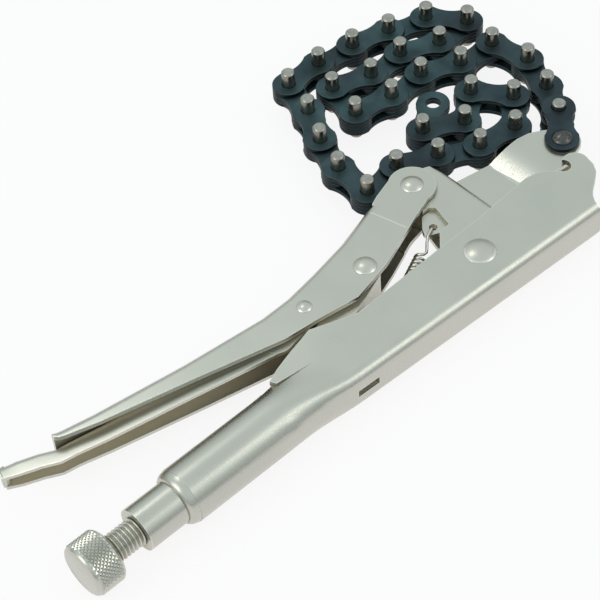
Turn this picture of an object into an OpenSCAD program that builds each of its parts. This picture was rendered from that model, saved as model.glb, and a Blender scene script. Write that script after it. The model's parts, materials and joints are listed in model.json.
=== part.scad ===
// Locking chain clamp: a toggle-action hand clamp whose jaw carries a length of pin chain.
// Millimetres. The jaw pivot lies on the axis of the adjusting screw. Sizes along the tool are
// measured from that pivot, with X towards the jaw and Y towards the lever, and the whole tool
// is then placed so that it lies on the plane Z = 0, centred over the origin.

/* [Chain] */
// Distance between neighbouring pins
chain_pitch = 15.875; // [15.8:0.025:17]
// Diameter of the chain pins
pin_d = 5.1; // [4.4:0.1:5.2]
// Length of the chain pins
pin_l = 17.6; // [17:0.1:22]
// How far the chain pins stand up from the middle plane
pin_top = 9.4; // [9:0.1:11]
// Diameter of the round ends of a chain plate
lobe_d = 12.4; // [11:0.1:12.8]
// Width of a chain plate at its waist
waist_w = 9; // [7.5:0.1:10]
// Thickness of one chain plate
plate_t = 1.6; // [1.2:0.05:1.7]
// Hole in the free end of the chain
eye_d = 5.4; // [5:0.1:6]

/* [Fixed handle] */
// Outer width of the channel
body_w = 16; // [15.6:0.1:16.4]
// Thickness of the handle's sheet
sheet_t = 2.2; // [1.8:0.1:2.3]
// Outer radius of the channel's bends
bend_r = 4.5; // [3.5:0.1:5.5]
// From the jaw pivot to the back of the channel
back_y = 13.8; // [13:0.1:15]
// From the jaw pivot to the open edge of the cheeks
cheek_y = 10.6; // [9.8:0.1:11]
// Outer diameter of the tube that the handle is rolled into
tube_d = 20; // [19:0.1:20.6]
// From the jaw pivot to the rear end of the tube
tube_end = 138.5; // [132:0.5:150]
// Diameter of the threaded collar
collar_d = 15.4; // [14:0.1:17]
// Length of the threaded collar
collar_l = 15; // [11:0.5:20]
// Width of the notch that takes a chain pin
notch_w = 5.5; // [5.4:0.05:5.8]

/* [Movable jaw] */
// Thickness of the jaw's sheet
jaw_t = 1.9; // [1.6:0.1:2]
// Place of the lever pivot, along the handle from the jaw pivot
lever_pivot_x = 6.3; // [5.5:0.1:7]
// Place of the lever pivot, above the jaw pivot
lever_pivot_y = 38.9; // [38:0.1:39.2]
// Place of the chain's rivet, along the handle from the jaw pivot
anchor_x = 60.4; // [60:0.1:63]
// Place of the chain's rivet, above the jaw pivot
anchor_y = 17.2; // [17:0.1:19]
// Half thickness of the jaw where its two sides are pressed together
pinch_z = 2.4; // [2:0.1:3]

/* [Lever] */
// Outer width of the lever's channel behind its ears
lever_w = 16.8; // [16.6:0.1:17.4]
// Thickness of the lever's sheet
lever_t = 1.8; // [1.5:0.1:1.9]
// Outer radius of the lever's bends
lever_bend_r = 3.2; // [2.4:0.1:4]
// Radius of the lever's ears around their pivot
ear_r = 8.6; // [7.5:0.1:8.8]
// Place of the toggle link's pivot, behind the jaw pivot
link_pivot_x = 32.3; // [31:0.1:34]
// Place of the toggle link's pivot, above the jaw pivot
link_pivot_y = 22.8; // [22:0.1:23.5]
// Place of the release lever's pivot, behind the jaw pivot
release_pivot_x = 59.2; // [57:0.1:61]
// Place of the release lever's pivot, above the jaw pivot
release_pivot_y = 24.2; // [23.6:0.1:24.6]
// Outer width of the release lever
release_w = 10.8; // [9:0.1:11]
// Thickness of the release lever's sheet
release_t = 1.4; // [1:0.1:1.6]

/* [Toggle link and screw] */
// From the jaw pivot to the foot of the toggle link
foot_x = 92; // [90:0.5:95]
// Width of the toggle link between the cheeks
link_w = 10; // [8:0.1:10.8]
// Radius of the toggle link's end at its pivot
link_r = 5.2; // [5:0.1:6.5]
// Radius of the toggle link's foot
foot_r = 4.2; // [3.5:0.1:4.6]
// Gap between the toggle link's foot and the screw
foot_gap = 2; // [1.9:0.1:4]
// Diameter of the adjusting screw
screw_d = 10; // [8:0.1:11]
// Pitch of the screw's thread
thread_pitch = 1.5; // [1.25:0.05:2]
// Depth of the screw's thread
thread_depth = 0.8; // [0.4:0.05:1]
// Length of screw between the collar and the knob
screw_out = 11; // [9:0.5:20]
// Diameter of the knob
knob_d = 19.4; // [16:0.1:19.8]
// Length of the knob
knob_l = 11.5; // [9:0.1:14]

/* [Return spring] */
// Outer diameter of the coil
coil_d = 5.3; // [4.6:0.1:5.4]
// Diameter of the spring wire
wire_d = 1.1; // [0.9:0.05:1.2]
// Number of curls
curls = 28; // [20:1:28]

/* [Rivets] */
// Shank diameter of the three large rivets
rivet_d = 5.6; // [4.6:0.1:6]
// Shank diameter of the release lever's rivet
small_rivet_d = 3.4; // [2.8:0.1:3.8]
// Head diameter of the jaw pivot's rivet
jaw_head_d = 11.5; // [10:0.1:12]
// Head diameter of the lever and link rivets
lever_head_d = 8.4; // [7.6:0.1:9]
// Head diameter of the release lever's rivet
release_head_d = 5.6; // [4.8:0.1:6.4]
// Head diameter of the chain's rivet
anchor_head_d = 7.8; // [7:0.1:9]
// Height of the rivet heads
head_h = 1.5; // [1:0.1:1.6]

/* [Clearances] */
// Radial clearance of a turning joint
run_gap = 0.05; // [0.03:0.01:0.08]
// Radial clearance of a pressed joint
press_gap = 0.01; // [0.005:0.005:0.02]
// Gap between flat faces that turn past each other
face_gap = 0.1; // [0.08:0.01:0.15]
// Gap between the jaw and the sheets around it
cheek_gap = 0.3; // [0.2:0.05:0.4]

/* [Hidden] */
$fn = 48;

lap = 0.5;             // how far a cut runs past the face that it opens
kiss = 0.03;           // keeps a straight edge from only touching a round one
outer_links = 15;
inner_links = 15;

// The chain lies in a loose pile. Each heading is a link's direction in degrees, from the rivet on.
link_headings = [
    47, 58, 69, 100, 176, 156, 182, 169, 79, -19, 2, -24, 3, 126, 161, 166,
    173, 182, 254, 243, 251, 267, 365, 336, 332, 351, 405, 485, 576, 511, 391
];
function towards(a) = [cos(a), sin(a)];
function chain_point(i) =
    i == 0 ? [anchor_x, anchor_y] : chain_point(i - 1) + chain_pitch * towards(link_headings[i - 1]);
chain_points = [for (i = [0:len(link_headings)]) chain_point(i)];

// Half widths from the middle plane, out through the stack of sheets
inner_plate_z = face_gap / 2;
outer_plate_z = inner_plate_z + plate_t + face_gap;
cheek_in = body_w / 2 - sheet_t;
jaw_z = cheek_in - cheek_gap;
nose_z = jaw_z - 0.1;
anchor_plate_z = nose_z + face_gap;
ear_z = jaw_z + cheek_gap;
lever_z = lever_w / 2;

// The handle tapers: its back leans out towards the hook
back_tilt = -2.6;
notch_at = [49.7, 7];
notch_heading = 134;
beak_at = [53.9, 5.1];
beak_r = 4.8;
channel_front = 44.5;
throat_x = -66;        // where the channel starts to close into the tube
tube_x = -98;          // where the tube is round
mouth_x = -93;         // rear end of the opening that the toggle link enters by
collar_x = -tube_end - collar_l;
knob_x = collar_x - screw_out;
knob_end = knob_x - knob_l;
tip_l = 5;
tip_stem_d = 4;
screw_tip = -foot_x - foot_r - foot_gap - tip_l;

lever_at = [lever_pivot_x, lever_pivot_y];
anchor_at = [anchor_x, anchor_y];
link_at = [-link_pivot_x, link_pivot_y];
release_at = [-release_pivot_x, release_pivot_y];
foot_at = [-foot_x, 0];

// Outer face of the lever's back, from the ears to the tail, with the depth of the cheeks there
lever_back = [[-6, 43.6], [-14, 41.5], [-30.5, 36.7], [-46.8, 33.7], [-60, 31.8], [-72, 31.6],
              [-103.4, 35.2], [-137, 40.5], [-148, 42.8], [-150.6, 43.3], [-152, 43.6]];
lever_depth = [16.2, 17.6, 18.9, 19.5, 15, 13.2, 8.3, 5.1, 3.9, 3.4, 2.4];

// Gap between the backs of the lever and the release lever, which nests inside
nest_gap = 0.5;
release_back = [for (i = [4:8]) lever_back[i] - [0, lever_t + nest_gap]];
release_tail = [[-153, 41.3], [-158, 44], [-165, 46.8], [-170.5, 48.4]];
release_path = concat(release_back, release_tail);
release_depth = [10.6, 12.9, 9.5, 7.2, 6.6, 6.5, 6.5, 6.4, 5.4];
release_taper = [0, 0, 0.1, 0.26, 0.3, 0.31, 0.32, 0.34, 0.4];

// The spring runs from a tab on the jaw to a tongue lanced from the handle's back
spring_from = [-0.6, 21.7];
spring_to = [-62, -5.8];
tab_z = [jaw_z - jaw_t - 2, jaw_z - jaw_t + 0.2];
tongue_z = [-2.6, -1.4];
hook_r = 1.5;

// The tool lies on its tube and its rivets, centred over the origin
chain_x_max = max([for (p = chain_points) p.x]) + lobe_d / 2;
chain_y_max = max([for (p = chain_points) p.y]) + lobe_d / 2;
back_y_min = -(back_y - channel_front * sin(back_tilt)) / cos(back_tilt);
place = [-(chain_x_max + knob_end) / 2, -(chain_y_max + back_y_min) / 2, max(pin_l - pin_top, tube_d / 2, lever_z + head_h)];

nickel = [0.72, 0.74, 0.71];
blued = [0.17, 0.23, 0.28];
bare_steel = [0.62, 0.61, 0.58];
dark_steel = [0.3, 0.29, 0.28];

function numbered(stem, k) = str(stem, k < 10 ? "0" : "", k);

// Shared shapes

// A solid between two heights, from a flat outline
module slab(z0, z1) {
    translate([0, 0, z0]) linear_extrude(z1 - z0) children();
}

// A slab and its mirror image below the middle plane
module both_sides(z0, z1) {
    slab(z0, z1) children();
    slab(-z1, -z0) children();
}

// A round bar along X
module bar_x(x0, x1, d0, d1) {
    translate([x0, 0, 0]) rotate([0, 90, 0]) cylinder(h = x1 - x0, d1 = d0, d2 = d1);
}

// A straight strip with round ends of two radii
module tapered_strip(a, b, ra, rb) {
    run = norm(b - a);
    lean = asin((ra - rb) / run);
    along = atan2(b.y - a.y, b.x - a.x);
    translate(a) rotate(along) {
        circle(r = ra);
        translate([run, 0]) circle(r = rb);
        polygon([
            (ra - kiss) * towards(90 - lean), (ra - kiss) * towards(-90 + lean),
            [run, 0] + (rb - kiss) * towards(-90 + lean), [run, 0] + (rb - kiss) * towards(90 - lean)
        ]);
    }
}

// Section of a channel: the back at 0, the cheeks reaching to depth d, rounded at the two bends
function channel_section(w, t, r, d, k = 4) = concat(
    [[d, w]],
    [for (i = [0:k]) [r - r * sin(90 * i / k), w - r + r * cos(90 * i / k)]],
    [for (i = [0:k]) [r - r * cos(90 * i / k), r - w - r * sin(90 * i / k)]],
    [[d, -w], [d, t - w]],
    [for (i = [0:k]) [r - (r - t) * sin(90 * i / k), r - w - (r - t) * cos(90 * i / k)]],
    [for (i = [0:k]) [r - (r - t) * cos(90 * i / k), w - r + (r - t) * sin(90 * i / k)]],
    [[d, w - t]]
);

function unit(v) = v / norm(v);
function tangent(path, i) = unit(path[min(i + 1, len(path) - 1)] - path[max(i - 1, 0)]);
// The inner side of a back that runs from the jaw to the tail
function inward(path, i) = [-tangent(path, i).y, tangent(path, i).x];

// A thin shell through a row of rings. Each ring runs along its outer face and back along its inner one.
module shell(rings) {
    m = len(rings[0]);
    n = len(rings);
    points = [for (ring = rings) each ring];
    walls = [for (i = [0:n - 2]) for (j = [0:m - 1]) each [
        [i * m + j, (i + 1) * m + j, (i + 1) * m + (j + 1) % m],
        [i * m + j, (i + 1) * m + (j + 1) % m, i * m + (j + 1) % m]
    ]];
    last = (n - 1) * m;
    ends = [for (j = [0:m / 2 - 2]) each [
        [j, j + 1, m - 2 - j], [j, m - 2 - j, m - 1 - j],
        [last + m - 2 - j, last + j + 1, last + j], [last + m - 1 - j, last + m - 2 - j, last + j]
    ]];
    polyhedron(points, concat(walls, ends), convexity = 6);
}

// A channel bent along a path, with its own width and depth at each point
module swept_channel(path, widths, depths, t, r) {
    shell([for (i = [0:len(path) - 1])
        [for (s = channel_section(widths[i] / 2, t, min(r, depths[i] - lap), depths[i]))
            concat(path[i] + s.x * inward(path, i), [s.y])]]);
}

// A low domed head that sits on the plane Z = 0
module dome(d, h) {
    ball_r = (d * d / 4 + h * h) / (2 * h);
    rotate_extrude() intersection() {
        translate([0, h - ball_r]) circle(r = ball_r);
        square([d / 2, h]);
    }
}

// A rivet with a shank of half length z and a head at each end
module rivet(at, d, z, head_d, h) {
    translate(at) {
        cylinder(h = 2 * z, d = d, center = true);
        for (s = [0, 180]) rotate([s, 0, 0]) translate([0, 0, z]) dome(head_d, h);
    }
}

// Shoulders on a rivet that fill the space between two pairs of cheeks
module shoulders(at, d, z0, z1) {
    translate(at) both_sides(z0, z1) circle(d = d);
}

// Fixed handle

// Height of the cheeks' rear corners
ear_top = 16;
// The whole side view of the handle, cut to shape at the hook and along the open edge of the cheeks
module cheek_outline() {
    far = 2 * body_w;
    difference() {
        union() {
            polygon([
                [collar_x, -far], [channel_front, -far], [channel_front, -12.4], [46.2, -9.9],
                [49, -7.6], [52.2, -5.6], [55.5, -3.2], [57.6, 0], beak_at + [beak_r, 0], beak_at,
                notch_at, [46.6, 6.4], [43.7, 9.2], [41.5, 10.8], [39, cheek_y + 1.1], [35.2, cheek_y + 1.7],
                [25, cheek_y + 1.2], [12, cheek_y + 0.3], [-10, cheek_y], [-48, cheek_y - 0.9], [-55.4, 12.4],
                [-64.8, ear_top], [-75.5, 13.6], [-83.3, 11.4], [-89.3, 10.4], [-93.5, far], [collar_x, far]
            ]);
            translate(beak_at) circle(r = beak_r);
        }
        translate(notch_at) circle(d = notch_w);
        translate(notch_at) rotate(notch_heading) translate([0, -notch_w / 2]) square([3 * notch_w, notch_w]);
    }
}

// Height of the channel's back at x
function back_at(x) = x * tan(back_tilt) - back_y / cos(back_tilt);
// How far the channel has closed into the tube at x, from 0 to 1
function closed_at(x) =
    let (u = min(1, max(0, (throat_x - x) / (throat_x - tube_x)))) u * u * (3 - 2 * u);

// Points of the channel and of the tube, numbered alike from one open edge around the back to the other
half_steps = 18;
cheek_steps = 9;
bend_steps = 5;
function channel_point(i, x, inset) = let (
        h = min(i, 2 * half_steps - i), side = (i <= half_steps) ? 1 : -1,
        w = body_w / 2 - inset, r = bend_r - inset, y0 = back_at(x) + inset, top = ear_top + 1,
        a = 90 * (h - cheek_steps) / bend_steps
    )
    h < cheek_steps ? [top + (y0 + r - top) * h / cheek_steps, side * w]
    : h < cheek_steps + bend_steps ? [y0 + r - r * sin(a), side * (w - r + r * cos(a))]
    : [y0, side * (w - r) * (half_steps - h) / (half_steps - cheek_steps - bend_steps)];
seam_a = 1.2;
function tube_point(i, inset) =
    let (a = 90 - seam_a - (180 - seam_a) * i / half_steps) (tube_d / 2 - inset) * [sin(a), cos(a)];
function handle_point(i, x, inset) =
    let (p = channel_point(i, x, inset), q = tube_point(i, inset), c = closed_at(x), m = p + c * (q - p))
    [x, m.x, m.y];
function handle_ring(x) = concat(
    [for (i = [0:2 * half_steps]) handle_point(i, x, 0)],
    [for (i = [2 * half_steps:-1:0]) handle_point(i, x, sheet_t)]
);
throat_rings = 8;
shoulder_l = 3.5;
handle_stations = concat(
    [shoulder_l - tube_end],
    [for (i = [0:throat_rings]) tube_x + (throat_x - tube_x) * i / throat_rings],
    [beak_at.x + 2 * beak_r]
);

// The cheeks stay flat at their rear corners, and stand out there from the closing tube
module rear_corners() {
    both_sides(cheek_in + 0.05, body_w / 2 - 0.05) polygon([
        [-56, 7], [-55.4, 12.3], [-64.8, ear_top - 0.1], [-75.5, 13.5], [-83.3, 11.3], [-88.6, 9.2], [-87.5, 7], [-72, 5]
    ]);
}

// The rounded shoulder between the tube and the collar
module shoulder() {
    r0 = collar_d / 2;
    rise = tube_d / 2 - 0.2 - r0;
    translate([-tube_end, 0, 0]) rotate([0, 90, 0]) rotate_extrude() polygon(concat(
        [[0, 0]],
        [for (a = [10:20:90]) [r0 + rise * sin(a), shoulder_l * (1 - cos(a))]],
        [[0, shoulder_l]]
    ));
}

// A tongue lanced from the back, with the hole that holds the spring
module tongue() {
    foot_y = back_at(spring_to.x) + sheet_t / 2;
    slab(tongue_z[0], tongue_z[1]) difference() {
        union() {
            translate([spring_to.x - 4, foot_y]) square([8, spring_to.y - foot_y]);
            translate(spring_to) circle(r = 3);
        }
        translate(spring_to) circle(r = hook_r);
    }
}

module fixed_handle() color(nickel) {
    weld = 1;
    difference() {
        union() {
            intersection() {
                shell([for (x = handle_stations) handle_ring(x)]);
                slab(-body_w, body_w) cheek_outline();
            }
            // The collar's shoulder closes the end of the tube and is fixed inside it
            shoulder();
            bar_x(collar_x, 2 * shoulder_l - tube_end, collar_d, collar_d);
            bar_x(shoulder_l - tube_end - lap, 2 * shoulder_l - tube_end, tube_d - 2 * weld, tube_d - 2 * weld);
            tongue();
            rear_corners();
        }
        // The mouth that the toggle link enters by
        translate([mouth_x, 0, -cheek_in]) cube([throat_x - mouth_x + 2, 3 * cheek_y, 2 * cheek_in]);
        bar_x(collar_x - lap, 3 * shoulder_l - tube_end, screw_d + 2 * run_gap, screw_d + 2 * run_gap);
        slab(-body_w, body_w) circle(d = rivet_d + 2 * press_gap);
        // The slot that the tongue was lanced from
        translate([spring_to.x - 5.8, back_at(spring_to.x) - lap, tongue_z[1] + 0.3])
            cube([9, sheet_t + 2 * lap, 2.9]);
    }
}

// Movable jaw

// Outer face of one side of the jaw along X: flat, pressed in at the waist, rising to the nose
step_x = [17.6, 21];
ridge_x = 35;
nose_x = 49;
function nose_rise(u) = pinch_z + (nose_z - pinch_z) * sin(90 * u);
jaw_face = concat(
    [[-40, jaw_z], [step_x[0], jaw_z]],
    [for (i = [1:3]) [
        step_x[0] + (step_x[1] - step_x[0]) * sin(22.5 * i),
        pinch_z + (jaw_z - pinch_z) * cos(22.5 * i)
    ]],
    [[step_x[1], pinch_z], [ridge_x, pinch_z]],
    [for (i = [1:8]) [ridge_x + (nose_x - ridge_x) * i / 8, nose_rise(i / 8)]],
    [[anchor_x + 30, nose_z]]
);

module jaw_side_section() {
    inner_side = [for (i = [len(jaw_face) - 1:-1:0]) [jaw_face[i].x, max(0, jaw_face[i].y - jaw_t)]];
    closed = [step_x[1] - 1, ridge_x + 5];
    polygon(concat(jaw_face, inner_side));
    translate([closed[0], 0]) square([closed[1] - closed[0], pinch_z - lap]);
}

module jaw_outline() {
    nose_r = 6.8;
    boss_r = 9;
    difference() {
        union() {
            translate(lever_at) circle(r = ear_r - 0.6);
            circle(r = boss_r);
            translate(anchor_at) circle(r = nose_r);
            polygon([
                [kiss - boss_r, 0], [-7.5, 11.4], [-2, 17.2], [1, 27.5], [1.6, 30.4], lever_at - [ear_r - 1, 0],
                lever_at + [0, ear_r - 0.8], [16.5, 43], [18.4, 42.2], [20.8, 32.2], [36, 29.4],
                anchor_at + [-10.4, 12.2], anchor_at + [-5.4, 11.2], anchor_at + [-1.4, 9],
                anchor_at + (nose_r - kiss) * towards(40), anchor_at, anchor_at + (nose_r - kiss) * towards(-80),
                anchor_at - [6, 8.8], [46, 8.8], [38, 5], [8, 1 - boss_r], [0, kiss - boss_r]
            ]);
        }
        circle(d = rivet_d + 2 * run_gap);
        translate(lever_at) circle(d = rivet_d + 2 * run_gap);
        translate(anchor_at) circle(d = rivet_d - 0.8 + 2 * press_gap);
    }
}

// A tab set down from the upper side of the jaw, with the hole that holds the spring
tab_reach = 4.2;
tab_outline = [[0.5, 6.2], [-3.6, 1.6], [-4.4, 0], [-3.6, -1.8], [-0.6, -3.3], [6.4, -3.4], [8.6, 4.6], [6, 6.2]];
recess_outline = [[0.4, 6.8], [-5, 1.8], [-6, -1], [-4, -3], [-0.8, -4], [3.8, -3.8], [6, 4.8], [4.4, 6.6]];
module jaw_tab() {
    translate(spring_from) slab(tab_z[0], tab_z[1]) difference() {
        polygon(tab_outline);
        circle(r = hook_r);
    }
}

module movable_jaw() color(nickel) {
    difference() {
        for (s = [0, 1]) mirror([0, 0, s]) intersection() {
            translate([0, 60, 0]) rotate([90, 0, 0]) linear_extrude(90) jaw_side_section();
            slab(-1, body_w) jaw_outline();
        }
        translate(spring_from) slab(0, body_w) polygon(recess_outline);
    }
    jaw_tab();
}

// Lever, toggle link and release lever

module ear_outline() {
    difference() {
        union() {
            translate(lever_at) circle(r = ear_r);
            polygon([
                lever_at + [0, ear_r - kiss], [-6.4, 43.7], [-10, 42.2], [-10, 26], [-2, 27.6], [4.7, 29.9],
                lever_at + (ear_r - lap) * towards(-52)
            ]);
        }
        translate(lever_at) circle(d = rivet_d + 2 * press_gap);
    }
}

module lever_handle() color(nickel) {
    ear_w = 2 * (ear_z + lever_t);
    widths = [for (i = [0:len(lever_back) - 1]) i == 0 ? ear_w : lever_w];
    difference() {
        union() {
            swept_channel(lever_back, widths, lever_depth, lever_t, lever_bend_r);
            both_sides(ear_z, ear_z + lever_t) ear_outline();
        }
        translate(link_at) cylinder(h = 2 * body_w, d = rivet_d - 1 + 2 * press_gap, center = true);
        translate(release_at) cylinder(h = 2 * body_w, d = small_rivet_d + 2 * press_gap, center = true);
        // The lower cheek is cut a little shallower
        slab(-body_w, 0) polygon([
            [4.5, 30.2], [-5.2, 28.4], [-19.6, 22.6], [-34.5, 17.4], [-46.8, 14.6], [-46.8, 8], [4.5, 8]
        ]);
    }
}

module link_outline_2d(inset) {
    tapered_strip(link_at, foot_at, link_r - inset, foot_r - inset);
}

module toggle_link() color(nickel) {
    wall = 2;
    floor_t = 2.4;
    difference() {
        slab(-link_w / 2, link_w / 2) link_outline_2d(0);
        // Open along its upper side, with a solid foot
        slab(wall - link_w / 2, link_w / 2 - wall) difference() {
            translate([0, floor_t]) link_outline_2d(0);
            translate(foot_at - [foot_r, foot_r]) square([3 * foot_r, 4 * foot_r]);
        }
        translate(link_at) cylinder(h = body_w, d = rivet_d - 1 + 2 * run_gap, center = true);
    }
}

module release_lever() color(nickel) {
    flange_r = 5.6;
    widths = [for (taper = release_taper) release_w * (1 - taper)];
    tip = release_tail[3];
    tip_z = release_w / 2 * (1 - release_taper[8]) - release_t / 2;
    difference() {
        union() {
            swept_channel(release_path, widths, release_depth, release_t, release_t + 1.5);
            // The rounded end of the tail
            slab(-tip_z, tip_z) polygon([
                tip + [1.6, -0.5], tip + [-0.3, -0.6], tip + [-1.3, -2.2],
                tip + [-1.9, -4.2], tip + [-1.2, -5.2], tip + [0.4, -4.9]
            ]);
            both_sides(release_w / 2 - release_t, release_w / 2) {
                tapered_strip(release_at, release_at - [14.8, 2.2], flange_r - 1, flange_r);
                tapered_strip(release_at, release_at + [9.2, 1.8], flange_r - 1, 2.6);
            }
        }
        translate(release_at) cylinder(h = body_w, d = small_rivet_d + 2 * run_gap, center = true);
    }
}

// Adjusting screw

module thread_profile() {
    r = screw_d / 2;
    from = knob_x - lap;
    turns = floor((screw_out + collar_l - 2) / thread_pitch);
    start = knob_x + 0.8;
    polygon(concat(
        [[0, from], [r - thread_depth, from], [r - thread_depth, start]],
        [for (i = [0:turns - 1]) each [
            [r - thread_depth, start + i * thread_pitch],
            [r, start + (i + 0.4) * thread_pitch],
            [r, start + (i + 0.6) * thread_pitch]
        ]],
        [[r - thread_depth, start + turns * thread_pitch], [r - thread_depth, screw_tip], [0, screw_tip]]
    ));
}

module adjusting_screw() color(nickel) {
    difference() {
        rotate([0, 90, 0]) rotate([0, 0, 180]) rotate_extrude() thread_profile();
        // The hole that holds the tip's stem
        bar_x(screw_tip - tip_l - 1, screw_tip + lap, tip_stem_d + 2 * run_gap, tip_stem_d + 2 * run_gap);
    }
}

// A button on the end of the screw, which bears on the toggle link and doesn't turn
module thrust_tip() color(bare_steel) {
    r = screw_d / 2 - thread_depth;
    translate([screw_tip + face_gap, 0, 0]) rotate([0, 90, 0]) {
        cylinder(h = tip_l - 1 - face_gap, r = r);
        translate([0, 0, tip_l - 1 - face_gap]) cylinder(h = 1, r1 = r, r2 = r - 1);
        translate([0, 0, -tip_l]) cylinder(h = tip_l + lap, d = tip_stem_d);
    }
}

module adjusting_knob() color(nickel) {
    chamfer = 1.2;
    difference() {
        union() {
            bar_x(knob_end, knob_end + chamfer, knob_d - 2 * chamfer, knob_d);
            bar_x(knob_end + chamfer, knob_x - chamfer, knob_d, knob_d);
            bar_x(knob_x - chamfer, knob_x, knob_d, knob_d - 2 * chamfer);
        }
        bar_x(knob_x - lap, knob_x + lap, screw_d - 2 * thread_depth, screw_d - 2 * thread_depth);
    }
}

// Return spring: one wire, hooked through the jaw's tab, curled, and hooked through the tongue

spring_run = norm(spring_to - spring_from);
spring_dir = unit(spring_to - spring_from);
spring_side = [-spring_dir.y, spring_dir.x];
coil_r = (coil_d - wire_d) / 2;
coil_start = 12;
coil_end = spring_run - 7;
rings_per_curl = 8;
hook_shift = hook_r - wire_d / 2 - 0.25;
function on_spring(u, side, z) = concat(spring_from + u * spring_dir + side * spring_side, [z]);
function curl_point(i) =
    let (a = 90 + 360 * i / rings_per_curl, u = coil_start + (coil_end - coil_start) * i / (curls * rings_per_curl))
    on_spring(u, coil_r * cos(a), coil_r * sin(a));
over_tab = tab_z[1] + wire_d / 2 + 0.25;
wire_points = concat(
    [on_spring(hook_shift, 0, tab_z[0] - 1.2), on_spring(hook_shift, 0, tab_z[0]), on_spring(hook_shift, 0, tab_z[1])],
    [on_spring(hook_shift + 0.4, 0, over_tab - 0.2), on_spring(hook_shift + 1.2, 0, over_tab),
     on_spring(tab_reach + 1, 0, over_tab), on_spring(coil_start - 4.6, 0.5, over_tab - 0.9),
     on_spring(coil_start - 2.6, 1.2, coil_r + 0.9), on_spring(coil_start - 1.4, 1.5, coil_r + 0.2),
     on_spring(coil_start - 0.5, 0.9, coil_r - 0.1)],
    [for (i = [0:curls * rings_per_curl]) curl_point(i)],
    [on_spring(coil_end + 0.8, -0.7 * coil_r, 0.75 * coil_r), on_spring(coil_end + 2, -0.5 * coil_r, 0.5),
     on_spring(coil_end + 3.6, 0, 0), on_spring(spring_run - hook_shift - 1.4, 0, 0),
     on_spring(spring_run - hook_shift - 0.3, 0, -0.4), on_spring(spring_run - hook_shift, 0, tongue_z[1]),
     on_spring(spring_run - hook_shift, 0, tongue_z[0]), on_spring(spring_run - hook_shift, 0, tongue_z[0] - 1)]
);
least_curl_gap = min([for (i = [0:rings_per_curl]) for (j = [i + 5:i + 3 * rings_per_curl])
    norm(curl_point(i) - curl_point(j))]) - wire_d;
echo(least_curl_gap = least_curl_gap);

function wire_tangent(i) = unit(wire_points[min(i + 1, len(wire_points) - 1)] - wire_points[max(i - 1, 0)]);
// Each ring's first axis is the last one carried along, so that the tube doesn't twist
function carried(v, t) = unit(v - (v * t) * t);
wire_axes = [for (i = 0, v = [spring_side.x, spring_side.y, 0]; i < len(wire_points);
    v = carried(v, wire_tangent(min(i + 1, len(wire_points) - 1))), i = i + 1) v];

module return_spring() color(bare_steel) {
    sides = 6;
    n = len(wire_points);
    points = [for (i = [0:n - 1]) for (j = [0:sides - 1])
        let (v = carried(wire_axes[i], wire_tangent(i)), w = cross(wire_tangent(i), v), a = 360 * j / sides)
        wire_points[i] + wire_d / 2 * (cos(a) * v + sin(a) * w)];
    walls = [for (i = [0:n - 2]) for (j = [0:sides - 1]) each [
        [i * sides + j, (i + 1) * sides + (j + 1) % sides, (i + 1) * sides + j],
        [i * sides + j, i * sides + (j + 1) % sides, (i + 1) * sides + (j + 1) % sides]
    ]];
    caps = [for (j = [1:sides - 2]) each [
        [0, j + 1, j],
        [(n - 1) * sides, (n - 1) * sides + j, (n - 1) * sides + j + 1]
    ]];
    polyhedron(points, concat(walls, caps), convexity = 10);
}

// Rivets

module jaw_pivot_rivet() color(nickel)
    rivet([0, 0], rivet_d, body_w / 2, jaw_head_d, head_h);

module lever_pivot_rivet() color(nickel)
    rivet(lever_at, rivet_d, ear_z + lever_t, lever_head_d, head_h);

module link_pivot_rivet() color(nickel) {
    rivet(link_at, rivet_d - 1, lever_z, lever_head_d, head_h);
    shoulders(link_at, rivet_d + 1, link_w / 2 + face_gap, lever_z - lever_t);
}

module release_pivot_rivet() color(nickel) {
    rivet(release_at, small_rivet_d, lever_z, release_head_d, head_h - 0.5);
    shoulders(release_at, small_rivet_d + 1.6, release_w / 2 + face_gap, lever_z - lever_t);
}

module anchor_rivet() color(dark_steel)
    rivet(anchor_at, rivet_d - 0.8, anchor_plate_z + plate_t + face_gap, anchor_head_d, head_h + 0.4);

// Chain

// A plate with its first hole at the origin and its second one pitch along X
module chain_plate(first_hole, second_hole) {
    lobe_r = lobe_d / 2;
    half = chain_pitch / 2;
    // Just short of the radius at which the waist would touch the round ends
    waist_r = 0.95 * (half * half + waist_w * waist_w / 4 - lobe_r * lobe_r) / (lobe_d - waist_w);
    difference() {
        union() {
            circle(r = lobe_r);
            translate([chain_pitch, 0]) circle(r = lobe_r);
            translate([0, -lobe_r]) square([chain_pitch, lobe_d]);
        }
        for (s = [-1, 1]) translate([half, s * (waist_w / 2 + waist_r)]) circle(r = waist_r);
        circle(d = first_hole);
        translate([chain_pitch, 0]) circle(d = second_hole);
    }
}

// Places a link, whose first pin is chain point i
module at_link(i) {
    translate(chain_points[i]) rotate(link_headings[i]) children();
}

module anchor_link() color(blued)
    at_link(0) both_sides(anchor_plate_z, anchor_plate_z + plate_t)
        chain_plate(rivet_d - 0.8 + 2 * run_gap, pin_d + 2 * run_gap);

module outer_link(k) color(blued)
    at_link(2 * k - 1) both_sides(outer_plate_z, outer_plate_z + plate_t)
        chain_plate(pin_d + 2 * press_gap, pin_d + 2 * press_gap);

module inner_link(k) color(blued)
    at_link(2 * k) both_sides(inner_plate_z, inner_plate_z + plate_t)
        chain_plate(pin_d + 2 * run_gap, (k == inner_links) ? eye_d : pin_d + 2 * run_gap);

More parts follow.
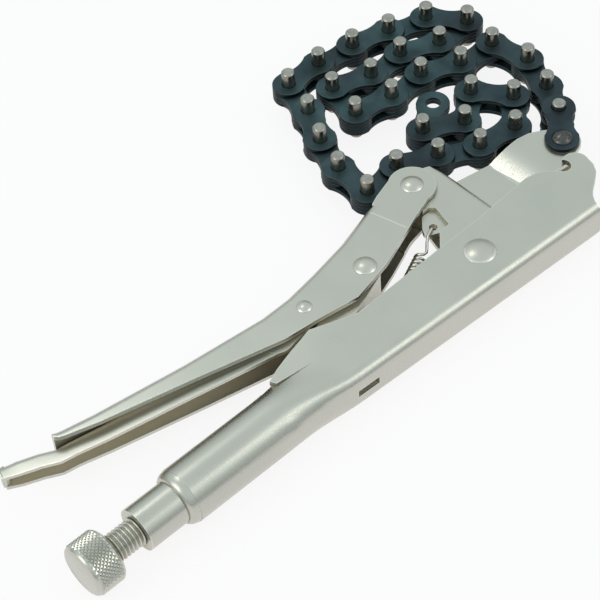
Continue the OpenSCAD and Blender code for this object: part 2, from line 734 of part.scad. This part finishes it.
module link_pins(k) color(bare_steel) {
    chamfer = 0.5;
    at_link(2 * k - 1) for (x = [0, chain_pitch]) translate([x, 0, pin_top - pin_l]) rotate_extrude() polygon([
        [0, 0], [pin_d / 2 - chamfer, 0], [pin_d / 2, chamfer], [pin_d / 2, pin_l - chamfer],
        [pin_d / 2 - chamfer, pin_l], [0, pin_l]
    ]);
}

translate(place) fixed_handle();
translate(place) movable_jaw();
translate(place) lever_handle();
translate(place) toggle_link();
translate(place) release_lever();
translate(place) adjusting_screw();
translate(place) adjusting_knob();
translate(place) thrust_tip();
translate(place) return_spring();
translate(place) jaw_pivot_rivet();
translate(place) lever_pivot_rivet();
translate(place) link_pivot_rivet();
translate(place) release_pivot_rivet();
translate(place) anchor_rivet();
translate(place) anchor_link();
for (k = [1:outer_links]) {
    translate(place) outer_link(k);
    translate(place) inner_link(k);
    translate(place) link_pins(k);
}
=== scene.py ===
import bpy
import json
import math
from mathutils import Matrix, Vector


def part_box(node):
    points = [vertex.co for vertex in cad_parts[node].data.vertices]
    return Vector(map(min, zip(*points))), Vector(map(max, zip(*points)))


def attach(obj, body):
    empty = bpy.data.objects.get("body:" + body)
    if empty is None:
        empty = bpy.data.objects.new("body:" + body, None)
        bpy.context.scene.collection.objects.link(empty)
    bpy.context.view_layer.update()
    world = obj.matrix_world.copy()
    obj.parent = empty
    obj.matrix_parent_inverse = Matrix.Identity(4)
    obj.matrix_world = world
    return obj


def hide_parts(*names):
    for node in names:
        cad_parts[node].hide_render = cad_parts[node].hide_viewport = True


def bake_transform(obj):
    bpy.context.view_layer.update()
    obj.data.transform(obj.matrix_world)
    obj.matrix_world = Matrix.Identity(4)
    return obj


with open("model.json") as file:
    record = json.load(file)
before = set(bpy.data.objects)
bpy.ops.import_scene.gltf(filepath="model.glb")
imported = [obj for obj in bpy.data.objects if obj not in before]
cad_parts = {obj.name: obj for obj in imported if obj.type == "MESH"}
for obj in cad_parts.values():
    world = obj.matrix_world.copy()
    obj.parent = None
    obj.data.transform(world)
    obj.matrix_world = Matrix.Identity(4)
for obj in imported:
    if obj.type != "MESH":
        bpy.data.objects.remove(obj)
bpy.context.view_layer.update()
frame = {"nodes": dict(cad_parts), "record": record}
nodes = frame["nodes"]
print("frame loaded:", len(nodes), "nodes")

mm = 0.001
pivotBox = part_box("jaw_pivot_rivet")
jawPivot = (pivotBox[0] + pivotBox[1]) / 2  # places below are measured from here


def atTool(x, y, z=0):  # millimetres from the jaw pivot to the scene's metres
    return jawPivot + Vector((x, y, z)) * mm


# camera

cameraSet = {
    "place": (-330.5, -303.0, 510.1),
    "towards": (0.4128, 0.5008, -0.7607),
    "roll": -4.442,
    "lens": 118.224,
    "sensor": 36,
    "nearest": 0.01,
}


def placeCamera(c):
    bpy.ops.object.camera_add(location=atTool(*c["place"]))
    camera = bpy.context.object
    camera.name = "photoCamera"
    ahead = Vector(c["towards"]).normalized()
    level = ahead.cross(Vector((0, 0, 1))).normalized()
    upright = level.cross(ahead)
    turn = math.radians(c["roll"])
    right = level * math.cos(turn) + upright * math.sin(turn)
    up = upright * math.cos(turn) - level * math.sin(turn)
    axes = Matrix((right, up, -ahead)).transposed()
    camera.rotation_euler = axes.to_euler()
    camera.data.lens = c["lens"]
    camera.data.sensor_width = c["sensor"]
    camera.data.clip_start = c["nearest"]
    bpy.context.scene.camera = camera


placeCamera(cameraSet)
bpy.context.scene.view_settings.view_transform = "Standard"
print("camera placed")


# shader helpers

class Wire:  # a shader socket that takes part in sums
    def __init__(self, bench, socket):
        self.bench = bench
        self.socket = socket

    def calc(self, operation, a, b):
        return self.bench.put("ShaderNodeMath", {"operation": operation}, {0: a, 1: b})

    def __add__(self, other): return self.calc("ADD", self, other)
    def __radd__(self, other): return self.calc("ADD", other, self)
    def __sub__(self, other): return self.calc("SUBTRACT", self, other)
    def __rsub__(self, other): return self.calc("SUBTRACT", other, self)
    def __mul__(self, other): return self.calc("MULTIPLY", self, other)
    def __rmul__(self, other): return self.calc("MULTIPLY", other, self)
    def __abs__(self): return self.calc("ABSOLUTE", self, 0)
    def most(self, other): return self.calc("MAXIMUM", self, other)


nookRays = 8  # per sample, for the painted shade in nooks and the pale corners


class Bench:  # one node tree
    def __init__(self, tree):
        self.tree = tree
        tree.nodes.clear()

    def put(self, kind, settings=None, sockets=None, out=0):
        node = self.tree.nodes.new(kind)
        for key, value in (settings or {}).items():
            setattr(node, key, value)
        for key, value in (sockets or {}).items():
            if isinstance(value, Wire):
                self.tree.links.new(value.socket, node.inputs[key])
            else:
                node.inputs[key].default_value = value
        return Wire(self, node.outputs[out]) if node.outputs else node

    def objectPlace(self):
        return self.put("ShaderNodeTexCoord", out="Object")

    def facingUp(self):  # 1 or -1 on level faces, 0 on upright ones
        return self.axis(self.put("ShaderNodeTexCoord", out="Normal"), 2)

    def noise(self, place, scale, detail=2.0, rough=0.5):
        return self.put("ShaderNodeTexNoise", None, {
            "Vector": place, "Scale": scale, "Detail": detail, "Roughness": rough})

    def stretched(self, place, scale):
        return self.put("ShaderNodeMapping", None, {"Vector": place, "Scale": scale})

    def between(self, share, first, second):
        return self.put("ShaderNodeMix", {"data_type": "RGBA"},
                        {0: share, 6: first, 7: second}, out=2)

    def spread(self, value, low, high, toLow=0.0, toHigh=1.0):
        return self.put("ShaderNodeMapRange", None, {
            "Value": value, "From Min": low, "From Max": high,
            "To Min": toLow, "To Max": toHigh})

    def axis(self, place, which):
        return self.put("ShaderNodeSeparateXYZ", None, {0: place}, out=which)

    def bump(self, height, strength, distance):
        return self.put("ShaderNodeBump", None, {
            "Height": height, "Strength": strength, "Distance": distance})

    def nookShade(self, reach):  # 1 in the open, falling to 0 in tight places; the mask of the painted shade
        return self.put("ShaderNodeAmbientOcclusion", {"samples": nookRays},
                        {"Distance": reach}, out="AO")

    def corner(self, reach):  # 1 on a piece's outer edges, 0 on its faces
        inner = self.put("ShaderNodeAmbientOcclusion",
                         {"samples": nookRays, "inside": True, "only_local": True},
                         {"Distance": reach}, out="AO")
        return 1 - self.spread(inner, 0.45, 0.92)

    def finish(self, sockets):
        shader = self.put("ShaderNodeBsdfPrincipled", None, sockets)
        self.put("ShaderNodeOutputMaterial", None, {"Surface": shader})


def newFinish(name):
    material = bpy.data.materials.new(name)
    material.use_nodes = True
    return material, Bench(material.node_tree)


# finishes

nickelSet = {
    "plate": (0.53, 0.53, 0.48, 1),
    "cloud": (0.57, 0.56, 0.505, 1),
    # the channel tan below stands in for the shade and reflected light inside the channels
    "nookShade": (0.74, 0.64, 0.46, 1),
    # the seam colour is painted shade where parts meet
    "seamShade": (0.17, 0.15, 0.11, 1),
    # the edge colour is a painted highlight, on edges and pressed lines
    "edge": (0.86, 0.86, 0.80, 1),
    "rough": 0.27,
    "edgeHighlight": 0.6,              # how strong the painted highlight on the edges is
    "cloudScale": 45,
    "pearlScale": 520,
    "grainScale": 1400,
    "grainDepth": 0.15,
    "grainHeight": 0.00008,
    "grainSway": 0.26,        # how far the grain moves the roughness
    "flatGrain": 0.25,        # what is left of the grain on flat sheet
    "channelReach": 0.012,
    "seamReach": 0.0026,
    "edgeReach": 0.0005,
}
rivetSet = dict(
    nickelSet, plate=(0.565, 0.55, 0.495, 1), cloud=(0.60, 0.58, 0.52, 1),
    rough=0.3, grainDepth=0.06)
creaseFade = 0.0005


def nickelFinish(name, c, crease=None):
    material, b = newFinish(name)
    place = b.objectPlace()
    cloud = b.spread(b.noise(place, c["cloudScale"], 4), 0.3, 0.7)
    grain = b.noise(place, c["grainScale"], 3, 0.6)
    pearl = b.noise(place, c["pearlScale"], 2)
    # painted shade and reflected light: inside the channels the colour turns a painted tan and
    # the metal dull, and the seams between parts are painted dark as shade
    outOfChannelShade = b.spread(b.nookShade(c["channelReach"]), 0.22, 0.62)
    clear = b.spread(b.nookShade(c["seamReach"]), 0.2, 0.72)
    colour = b.between(outOfChannelShade, c["nookShade"], b.between(cloud, c["plate"], c["cloud"]))
    # painted shade in the seams
    colour = b.between(clear, c["seamShade"], colour)
    # painted highlight: the outer edges are lightened and made a little smoother
    paleEdges = b.corner(c["edgeReach"]) * b.spread(pearl, 0.25, 0.6, 0.45, 1.0)
    colour = b.between(paleEdges * c["edgeHighlight"], colour, c["edge"])
    # the grain opens where the sheet is bent
    formed = b.spread(abs(b.facingUp()), 0.95, 0.995, 1.0, c["flatGrain"])
    height = (grain * 0.6 + pearl * 0.5) * formed
    if crease:  # a faint pressed line on the upper side
        (x0, y0), (x1, y1) = crease["from"], crease["to"]
        run = math.hypot(x1 - x0, y1 - y0)
        nx, ny = (y1 - y0) / run, (x0 - x1) / run
        x, y = b.axis(place, 0) - x0, b.axis(place, 1) - y0
        away = abs(x * nx + y * ny)
        along = y * nx - x * ny
        ends = (b.spread(along, -creaseFade, creaseFade)
                * b.spread(run - along, -creaseFade, creaseFade))
        line = b.spread(away, 0.0, crease["width"], 1.0, 0.0) * ends
        height = height - line * crease["depth"]
        # a painted highlight along the pressed line
        colour = b.between(line * crease["shine"], colour, c["edge"])
    rough = c["rough"] + cloud * 0.05 + (grain - 0.5) * c["grainSway"] * formed
    b.finish({
        "Base Color": colour,
        "Metallic": 0.1 + outOfChannelShade * 0.9,
        "Roughness": rough + (1 - outOfChannelShade) * 0.2 - paleEdges * 0.06,
        "Normal": b.bump(height, c["grainDepth"], c["grainHeight"]),
    })
    return material


bluedSet = {
    "slate": (0.028, 0.053, 0.061, 1),
    "sheen": (0.072, 0.124, 0.136, 1),
    # flank is painted shade for the plates' upright sides
    "flankShade": (0.011, 0.016, 0.018, 1),
    "dusk": (0.027, 0.026, 0.036, 1),
    "rub": (0.12, 0.14, 0.15, 1),
    "metal": 0.85,
    "rough": 0.38,
    "cloudScale": 90,
    "duskScale": 26,
    "rubScale": 320,
    "speckScale": 1500,
    "speckDepth": 0.2,
    "speckHeight": 0.00006,
    "edgeReach": 0.0004,
}


def bluedFinish(name, c):
    material, b = newFinish(name)
    place = b.objectPlace()
    cloud = b.spread(b.noise(place, c["cloudScale"], 4), 0.3, 0.7)
    speck = b.noise(place, c["speckScale"], 3, 0.6)
    rubbed = b.spread(b.noise(place, c["rubScale"], 5, 0.7), 0.66, 0.82)
    colour = b.between(rubbed * 0.5, b.between(cloud, c["slate"], c["sheen"]), c["rub"])
    # some links are duskier than others
    dusk = b.spread(b.noise(place, c["duskScale"], 2), 0.44, 0.62)
    colour = b.between(dusk * 0.5, colour, c["dusk"])
    # painted shade: the upright sides of the plates are painted near black
    flat = b.spread(abs(b.facingUp()), 0.25, 0.8)
    colour = b.between(flat, c["flankShade"], colour)
    # the colour turns lighter along the corners
    paleEdges = b.corner(c["edgeReach"]) * b.spread(speck, 0.35, 0.6, 0.3, 1.0)
    colour = b.between(paleEdges * 0.55, colour, c["rub"])
    b.finish({
        "Base Color": colour,
        "Metallic": c["metal"],
        "Roughness": c["rough"] + cloud * 0.1 + (speck - 0.5) * 0.2,
        "Normal": b.bump(speck, c["speckDepth"], c["speckHeight"]),
    })
    return material


steelSet = {
    "pin": {
        "bright": (0.43, 0.425, 0.395, 1), "dull": (0.305, 0.295, 0.265, 1),
        # side is painted shade for the pins' upright sides
        "side": (0.27, 0.25, 0.205, 1), "rough": 0.24, "mottle": 420,
    },
    "wire": {
        "bright": (0.75, 0.73, 0.66, 1), "dull": (0.55, 0.53, 0.46, 1),
        "rough": 0.22, "mottle": 600,
    },
    "rivet": {
        "bright": (0.15, 0.148, 0.14, 1), "dull": (0.045, 0.046, 0.046, 1),
        "rough": 0.2, "mottle": 1300,
    },
}
drawnSet = {"scale": (2600, 2600, 120), "depth": 0.12, "height": 0.00004}  # drawing marks


def steelFinish(name, c):
    material, b = newFinish(name)
    place = b.objectPlace()
    mottle = b.spread(b.noise(place, c["mottle"], 4, 0.65), 0.35, 0.65)
    drawn = b.noise(b.stretched(place, drawnSet["scale"]), 1.0, 2)
    colour = b.between(mottle * 0.7 + drawn * 0.3, c["dull"], c["bright"])
    if "side" in c:  # painted shade: the pins' upright sides are darker than their tops, streaked by the drawing marks
        pinSideShade = (1 - b.spread(abs(b.facingUp()), 0.3, 0.9)) * (0.55 + drawn * 0.45)
        colour = b.between(pinSideShade, colour, c["side"])
    b.finish({
        "Base Color": colour,
        "Metallic": 1.0,
        "Roughness": c["rough"] + mottle * 0.1,
        "Normal": b.bump(drawn, drawnSet["depth"], drawnSet["height"]),
    })
    return material


# shine is how strongly each pressed line is lightened by a painted highlight
creaseSet = {
    "lever": {"from": atTool(-14.5, 41.6).to_2d(), "to": atTool(-10.2, 25.4).to_2d(),
              "width": 0.00035, "depth": 2.5, "shine": 0.65},
    "jaw": {"from": atTool(35.4, 27.6).to_2d(), "to": atTool(37.0, 13.0).to_2d(),
            "width": 0.0005, "depth": 3.0, "shine": 0.55},
}

finishes = {
    "nickel_body": nickelFinish("satinNickel", nickelSet),
    "blued_plate": bluedFinish("bluedPlate", bluedSet),
    "bare_steel": steelFinish("drawnSteel", steelSet["pin"]),
    "dark_steel": steelFinish("oiledSteel", steelSet["rivet"]),
}
ownFinish = {
    "lever_handle": nickelFinish("satinNickelLever", nickelSet, creaseSet["lever"]),
    "movable_jaw": nickelFinish("satinNickelJaw", nickelSet, creaseSet["jaw"]),
}
rivetFinish = nickelFinish("polishedRivet", rivetSet)
for rivet in ("jaw_pivot", "lever_pivot", "link_pivot", "release_pivot"):
    ownFinish[rivet + "_rivet"] = rivetFinish
wireFinish = steelFinish("springWire", steelSet["wire"])
print("finishes made")


# carried-over nodes: each gets its finish, eased edges and smooth faces

edgeSet = {  # widths in millimetres
    "fixed_handle": 0.35, "movable_jaw": 0.4, "lever_handle": 0.3, "release_lever": 0.3,
    "toggle_link": 0.3, "adjusting_screw": 0.12, "thrust_tip": 0.2,
    "chain": 0.28, "pins": 0.16, "rivet": 0.12,
}
easeSet = {
    "join": 0.004,            # points this close in millimetres are one
    "flatAngle": 0.4,
    "edgeAngle": 38,
    "steps": 2,
    "weight": 60,
}


def edgeWidth(name):
    if name in edgeSet:
        return edgeSet[name]
    if name.startswith("link_pins"):
        return edgeSet["pins"]
    return edgeSet["rivet"] if name.endswith("rivet") else edgeSet["chain"]


def easeEdges(piece, width):
    weld = piece.modifiers.new("join", "WELD")
    weld.merge_threshold = easeSet["join"] * mm
    flat = piece.modifiers.new("flats", "DECIMATE")
    flat.decimate_type = "DISSOLVE"
    flat.angle_limit = math.radians(easeSet["flatAngle"])
    bevel = piece.modifiers.new("edges", "BEVEL")
    bevel.width = width * mm
    bevel.segments = easeSet["steps"]
    bevel.limit_method = "ANGLE"
    bevel.angle_limit = math.radians(easeSet["edgeAngle"])
    bevel.use_clamp_overlap = True
    shading = piece.modifiers.new("shading", "WEIGHTED_NORMAL")
    shading.weight = easeSet["weight"]
    shading.keep_sharp = False


slotOf = {s["node"]: s["material_slot"] for s in frame["record"]["subparts"]}
for name, node in nodes.items():
    node.data.materials.clear()
    node.data.materials.append(ownFinish.get(name, finishes[slotOf[name]]))
    for face in node.data.polygons:
        face.use_smooth = True
    easeEdges(node, edgeWidth(name))
print("nodes dressed")


# modelling helpers

def startPiece(name):
    piece = bpy.context.object
    piece.name = name
    bpy.ops.object.transform_apply(location=True, rotation=True, scale=True)
    return piece


def pick(piece, faceTest=None, edgeTest=None):  # selects faces or edges by their place
    if bpy.context.object and bpy.context.object.mode == "EDIT":
        bpy.ops.object.mode_set(mode="OBJECT")
    bpy.ops.object.select_all(action="DESELECT")
    piece.select_set(True)
    bpy.context.view_layer.objects.active = piece
    bpy.ops.object.mode_set(mode="EDIT")
    bpy.ops.mesh.select_mode(type="FACE" if faceTest else "EDGE")
    bpy.ops.mesh.select_all(action="DESELECT")
    bpy.ops.object.mode_set(mode="OBJECT")
    mesh = piece.data
    if faceTest:
        for face in mesh.polygons:
            face.select = faceTest(face)
    if edgeTest:
        for edge in mesh.edges:
            edge.select = edgeTest(*(mesh.vertices[i].co for i in edge.vertices))
    bpy.ops.object.mode_set(mode="EDIT")


def endEdit():
    bpy.ops.object.mode_set(mode="OBJECT")


# knurled knob

knobSet = {
    "ribs": 36,
    "rows": 6,
    "rim": (1.3, 10.4),       # where the knurl starts and ends, from the outer face
    "valley": 0.6,            # depth of the knurl
    "pointShare": 0.86,       # how far the points rise out of it
    "rimTilt": 0.05,          # how far a face of the rim may lean
    "sharpAngle": 24,
    "face": [(0.0, 7.4), (0.15, 8.0), (0.55, 8.7), (1.0, 9.0)],
    "back": [(10.6, 8.9), (11.0, 8.5), (11.35, 7.8), (11.5, 7.0), (11.5, 4.4)],
}


def makeKnob(c):
    low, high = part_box("adjusting_knob")
    centre = (low + high) / 2
    radius = (high.y - low.y) / 2
    stem = centre.copy()
    stem.x = low.x
    rimStart, rimEnd = c["rim"]
    valley = radius / mm - c["valley"]
    step = (rimEnd - rimStart) / c["rows"]
    rim = [(rimStart + step * i, valley) for i in range(c["rows"] + 1)]
    profile = c["face"] + rim + c["back"]
    bpy.ops.object.select_all(action="DESELECT")
    bpy.ops.mesh.primitive_circle_add(
        vertices=c["ribs"], radius=profile[0][1] * mm, fill_type="NGON",
        location=stem, rotation=(0, -math.pi / 2, 0))
    knob = startPiece("knurledKnob")
    pick(knob, edgeTest=lambda a, b: True)
    for (x0, r0), (x1, r1) in zip(profile, profile[1:]):
        bpy.ops.mesh.extrude_edges_move(TRANSFORM_OT_translate={"value": ((x1 - x0) * mm, 0, 0)})
        here = stem + Vector((x1 * mm, 0, 0))
        bpy.ops.transform.resize(value=(1, r1 / r0, r1 / r0), center_override=here)
    bpy.ops.mesh.fill()
    endEdit()

    # the rim's squares are cut corner to corner and lose their old edges, which leaves diamonds
    x0, x1 = low.x + rimStart * mm, low.x + rimEnd * mm
    slack = 1e-6

    def inRim(x):
        return x0 - slack < x < x1 + slack

    def rimFace(face):
        return inRim(face.center.x) and abs(face.normal.x) < c["rimTilt"]

    pick(knob, faceTest=rimFace)
    bpy.ops.mesh.poke(offset=0)
    endEdit()

    def around(point):
        return math.atan2(point.z - stem.z, point.y - stem.y) / (2 * math.pi) * c["ribs"] * 2

    first = knob.data.vertices[0].co

    def onRib(point):
        return round(around(point) - around(first)) % 2 == 0

    def oldEdge(a, b):
        inside = inRim(a.x) and inRim(b.x) and onRib(a) and onRib(b)
        onLip = abs(a.x - b.x) < slack / 10 and min(abs(a.x - x0), abs(a.x - x1)) < slack
        return inside and not onLip

    pick(knob, edgeTest=oldEdge)
    bpy.ops.mesh.dissolve_edges(use_verts=False)
    endEdit()
    pick(knob, faceTest=lambda face: rimFace(face) and len(face.vertices) == 4)
    bpy.ops.mesh.poke(offset=c["valley"] * c["pointShare"] * mm)
    bpy.ops.mesh.select_all(action="SELECT")
    bpy.ops.mesh.normals_make_consistent(inside=False)
    endEdit()
    bpy.ops.object.shade_smooth_by_angle(angle=math.radians(c["sharpAngle"]))
    knob.data.materials.append(finishes["nickel_body"])
    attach(knob, "screw")
    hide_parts("adjusting_knob")
    return knob


knob = makeKnob(knobSet)
print("knob:", len(knob.data.polygons), "faces")


# return spring: the same wire as the solid's, rounder

springSet = {
    "from": (-0.6, 21.7),
    "to": (-62.0, -5.8),
    "wire": 1.1,
    "coil": 5.3,
    "curls": 28,
    "coilStart": 12.0,
    "endRoom": 7.0,
    "hookShift": 0.7,
    "tab": (1.6, 3.8),
    "tabEdge": 4.2,
    "tabGap": 0.25,
    "tongue": (-2.6, -1.4),
    "stepsPerCurl": 20,
    "roundness": 2,
    "sharpAngle": 60,
}


def springLine(c):
    start, end = Vector(c["from"]), Vector(c["to"])
    run = (end - start).length
    along = (end - start).normalized()
    side = Vector((-along.y, along.x))
    coilRadius = (c["coil"] - c["wire"]) / 2
    coilEnd = run - c["endRoom"]
    overTab = c["tab"][1] + c["wire"] / 2 + c["tabGap"]
    hook, tail, begin = c["hookShift"], run - c["hookShift"], c["coilStart"]

    def at(u, s, z):
        p = start + along * u + side * s
        return atTool(p.x, p.y, z)

    # each point: along the spring, aside and up
    tabLow, tabHigh = c["tab"]
    tongueLow, tongueHigh = c["tongue"]
    upperHook = [
        (hook, 0, tabLow - 1.2), (hook, 0, tabLow), (hook, 0, tabHigh),
        (hook + 0.4, 0, overTab - 0.2), (hook + 1.2, 0, overTab),
        (c["tabEdge"] + 1, 0, overTab), (begin - 4.6, 0.5, overTab - 0.9),
        (begin - 2.6, 1.2, coilRadius + 0.9), (begin - 1.4, 1.5, coilRadius + 0.2),
        (begin - 0.5, 0.9, coilRadius - 0.1),
    ]
    count = c["curls"] * c["stepsPerCurl"]
    curls = []
    for i in range(count + 1):
        turn = math.pi / 2 + 2 * math.pi * i / c["stepsPerCurl"]
        reach = begin + (coilEnd - begin) * i / count
        curls.append((reach, coilRadius * math.cos(turn), coilRadius * math.sin(turn)))
    lowerHook = [
        (coilEnd + 0.8, -0.7 * coilRadius, 0.75 * coilRadius),
        (coilEnd + 2, -0.5 * coilRadius, 0.5), (coilEnd + 3.6, 0, 0),
        (tail - 1.4, 0, 0), (tail - 0.3, 0, -0.4),
        (tail, 0, tongueHigh), (tail, 0, tongueLow), (tail, 0, tongueLow - 1),
    ]
    return [at(*point) for point in upperHook + curls + lowerHook]


def makeSpring(c):
    line = springLine(c)
    bpy.ops.object.select_all(action="DESELECT")
    bpy.ops.object.add(type="CURVE")
    spring = bpy.context.object
    spring.name = "returnSpring"
    curve = spring.data
    curve.dimensions = "3D"
    spline = curve.splines.new("POLY")
    spline.points.add(len(line) - 1)
    for point, place in zip(spline.points, line):
        point.co = (*place, 1)
    curve.bevel_depth = c["wire"] / 2 * mm
    curve.bevel_resolution = c["roundness"]
    curve.use_fill_caps = True
    bpy.ops.object.convert(target="MESH")
    spring = bpy.context.object
    bpy.ops.object.shade_smooth_by_angle(angle=math.radians(c["sharpAngle"]))
    spring.data.materials.append(wireFinish)
    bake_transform(spring)
    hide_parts("return_spring")
    return spring


spring = makeSpring(springSet)
print("spring:", len(spring.data.polygons), "faces")


# floor, world and lamps

stageSet = {
    "floor": (0.90, 0.85, 0.85, 1),
    "floorSize": 6,
    "floorDrop": 0.0002,
    "shadowShare": 0.12,      # how much of the floor's shading the camera sees
    "sky": (0.681, 0.807, 0.807, 1),
    "horizon": (0.12, 0.157, 0.136, 1),
    "skyRise": (0.03, 0.5),   # heights between which the horizon turns into sky
    "mirrorShare": 0.3,       # how much of the white backdrop the metal shows
    "lamps": [
        {"name": "frontBox", "place": (430, -560, 660), "size": 0.46, "watts": 0.72},
        {"name": "leftBox", "place": (-620, 160, 480), "size": 0.4, "watts": 0.9},
        {"name": "backBox", "place": (0, 470, 770), "size": 0.2, "watts": 0.42},
    ],
    "lampColour": (1.0, 0.975, 0.915),
}


# 1 for rays from the camera or through glass, and a share for mirrored ones
def seenShare(b, mirrored):
    camera, glossy, through = (
        b.put("ShaderNodeLightPath", out="Is %s Ray" % kind)
        for kind in ("Camera", "Glossy", "Transmission"))
    return camera.most(glossy * mirrored).most(through)


def makeStage(c):
    bpy.ops.object.select_all(action="DESELECT")
    bpy.ops.mesh.primitive_plane_add(size=c["floorSize"], location=(0, 0, -c["floorDrop"]))
    floor = startPiece("floor")
    material, b = newFinish("paleFloor")
    matte = b.put("ShaderNodeBsdfDiffuse", None, {"Color": c["floor"]})
    white = b.put("ShaderNodeEmission", None, {"Color": (1, 1, 1, 1), "Strength": 1.0})
    share = seenShare(b, 1.0) * (1 - c["shadowShare"])
    mixed = b.put("ShaderNodeMixShader", None, {0: share, 1: matte, 2: white})
    b.put("ShaderNodeOutputMaterial", None, {"Surface": mixed})
    floor.data.materials.append(material)

    world = bpy.data.worlds.new("studio")
    world.use_nodes = True
    bpy.context.scene.world = world
    b = Bench(world.node_tree)
    height = b.axis(b.put("ShaderNodeTexCoord", out="Generated"), 2)
    wall = b.between(b.spread(height, *c["skyRise"]), c["horizon"], c["sky"])
    colour = b.between(seenShare(b, c["mirrorShare"]), wall, (1, 1, 1, 1))
    sky = b.put("ShaderNodeBackground", None, {"Color": colour, "Strength": 1.0})
    b.put("ShaderNodeOutputWorld", None, {"Surface": sky})

    for lamp in c["lamps"]:
        place = atTool(*lamp["place"])
        bpy.ops.object.light_add(type="AREA", location=place)
        light = bpy.context.object
        light.name = lamp["name"]
        light.data.size = lamp["size"]
        light.data.energy = lamp["watts"]
        light.data.color = c["lampColour"]
        light.rotation_euler = (-place).to_track_quat("-Z", "Y").to_euler()


makeStage(stageSet)
print("stage lit")
